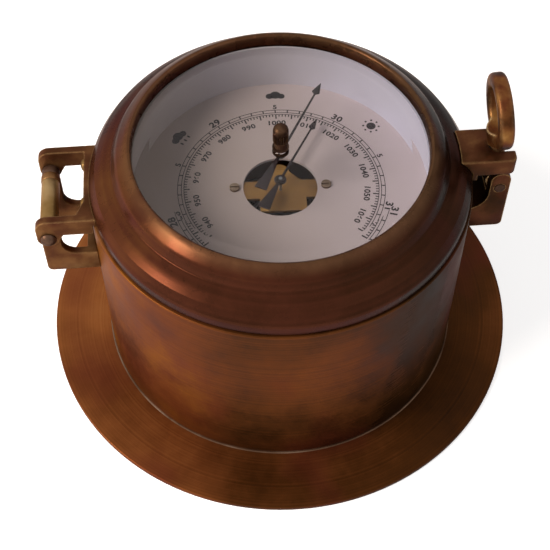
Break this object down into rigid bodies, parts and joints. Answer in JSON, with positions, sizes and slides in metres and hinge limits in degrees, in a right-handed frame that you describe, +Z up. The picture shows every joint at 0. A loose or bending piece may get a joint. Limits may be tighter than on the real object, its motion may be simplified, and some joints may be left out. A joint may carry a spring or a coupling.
{
  "type": "porthole barometer",
  "caption": "Round brass aneroid barometer built like a ship's porthole: a drum on a wide flange, a hinged glazed door ring and a swing bolt with an eye nut.",
  "frame": {"origin": "centre of the flat underside of the flange", "axes": "+Z up from the flange to the glass, +X towards the clasp, -X towards the hinge, +Y towards the top of the dial"},
  "size_m": [0.18, 0.18, 0.1206],
  "materials": {
    "aged_brass": "dark antique patina over turned brass",
    "door_brass": "dark antique patina, rubbed bright along the raised lip",
    "cast_brass": "cast brass with a brown patina",
    "bright_brass": "worn brass, lighter where it is handled",
    "pin_brass": "dark brown patina",
    "movement_brass": "brushed brass",
    "steel": "brushed steel",
    "dial_white": "matt off-white enamel with a black printed scale",
    "wall_white": "matt off-white enamel",
    "hand_black": "blackened steel",
    "clear_glass": "clear bevelled glass",
    "gasket_rubber": "soft black rubber",
    "back_black": "black paint"
  },
  "bodies": {
    "case": {"base_flange": "aged_brass", "drum": "aged_brass", "mouth_ring": "aged_brass", "dial": "dial_white", "dial_screws": "movement_brass", "wall_ring": "wall_white", "hinge_bracket": "cast_brass", "hinge_pin": "pin_brass", "hinge_barrel": "bright_brass", "hinge_washer": "bright_brass", "clasp_bracket": "cast_brass", "clasp_pin": "pin_brass", "bridge_plate": "movement_brass", "movement_plate": "steel", "pillars": "movement_brass", "rocker_cocks": "movement_brass", "capsule": "steel", "main_spring": "steel", "main_lever": "steel", "hairspring": "steel", "back_lugs": "movement_brass", "back_cover": "back_black", "back_screws": "movement_brass"},
    "door": {"door_ring": "door_brass", "gasket": "gasket_rubber", "glass": "clear_glass", "glass_keeper": "door_brass", "door_hinge_lug": "cast_brass", "door_fork": "cast_brass", "spindle_bush": "movement_brass"},
    "setting_hand": {"set_spindle": "steel", "set_hand": "hand_black", "set_knob": "bright_brass"},
    "clamp_bolt": {"swing_bolt": "bright_brass"},
    "clamp_nut": {"eye_nut": "bright_brass"},
    "indicator": {"pointer": "hand_black", "pointer_arbor": "steel"},
    "rocker": {"rocking_shaft": "steel"},
    "pull_chain": {"chain": "steel"},
    "adjuster": {"adjusting_screw": "movement_brass"}
  },
  "joints": [
    {"name": "door_hinge", "type": "hinge", "parent": "case", "child": "door", "pos_m": [-0.0815, 0, 0.075], "axis": [0, -1, 0], "range_deg": [0, 110]},
    {"name": "bolt_swing", "type": "hinge", "parent": "case", "child": "clamp_bolt", "pos_m": [0.0776, 0, 0.075], "axis": [0, 1, 0], "range_deg": [0, 115]},
    {"name": "eye_nut_turn", "type": "hinge", "parent": "clamp_bolt", "child": "clamp_nut", "pos_m": [0.07499, 0, 0.09986], "axis": [-0.1045, 0, 0.9945], "continuous": true},
    {"name": "set_hand_turn", "type": "hinge", "parent": "door", "child": "setting_hand", "pos_m": [0, 0, 0.094], "axis": [0, 0, 1], "continuous": true},
    {"name": "pointer_turn", "type": "hinge", "parent": "case", "child": "indicator", "pos_m": [0, 0, 0.077], "axis": [0, 0, 1], "range_deg": [-92, 147]},
    {"name": "rocking_shaft_turn", "type": "hinge", "parent": "case", "child": "rocker", "pos_m": [0, -0.017, 0.0604], "axis": [1, 0, 0], "range_deg": [-25, 16]},
    {"name": "chain_pull", "type": "slide", "parent": "case", "child": "pull_chain", "axis": [0, 1, 0], "range_m": [-0.002, 0.0031]},
    {"name": "adjusting_screw_turn", "type": "hinge", "parent": "case", "child": "adjuster", "pos_m": [0, -0.022, 0.02], "axis": [0, 0, 1], "continuous": true}
  ],
  "couplings": [
    {"joint": "rocking_shaft_turn", "follows": "pointer_turn", "ratio": -0.16429},
    {"joint": "chain_pull", "follows": "pointer_turn", "m_per_rad": 0.00115}
  ]
}
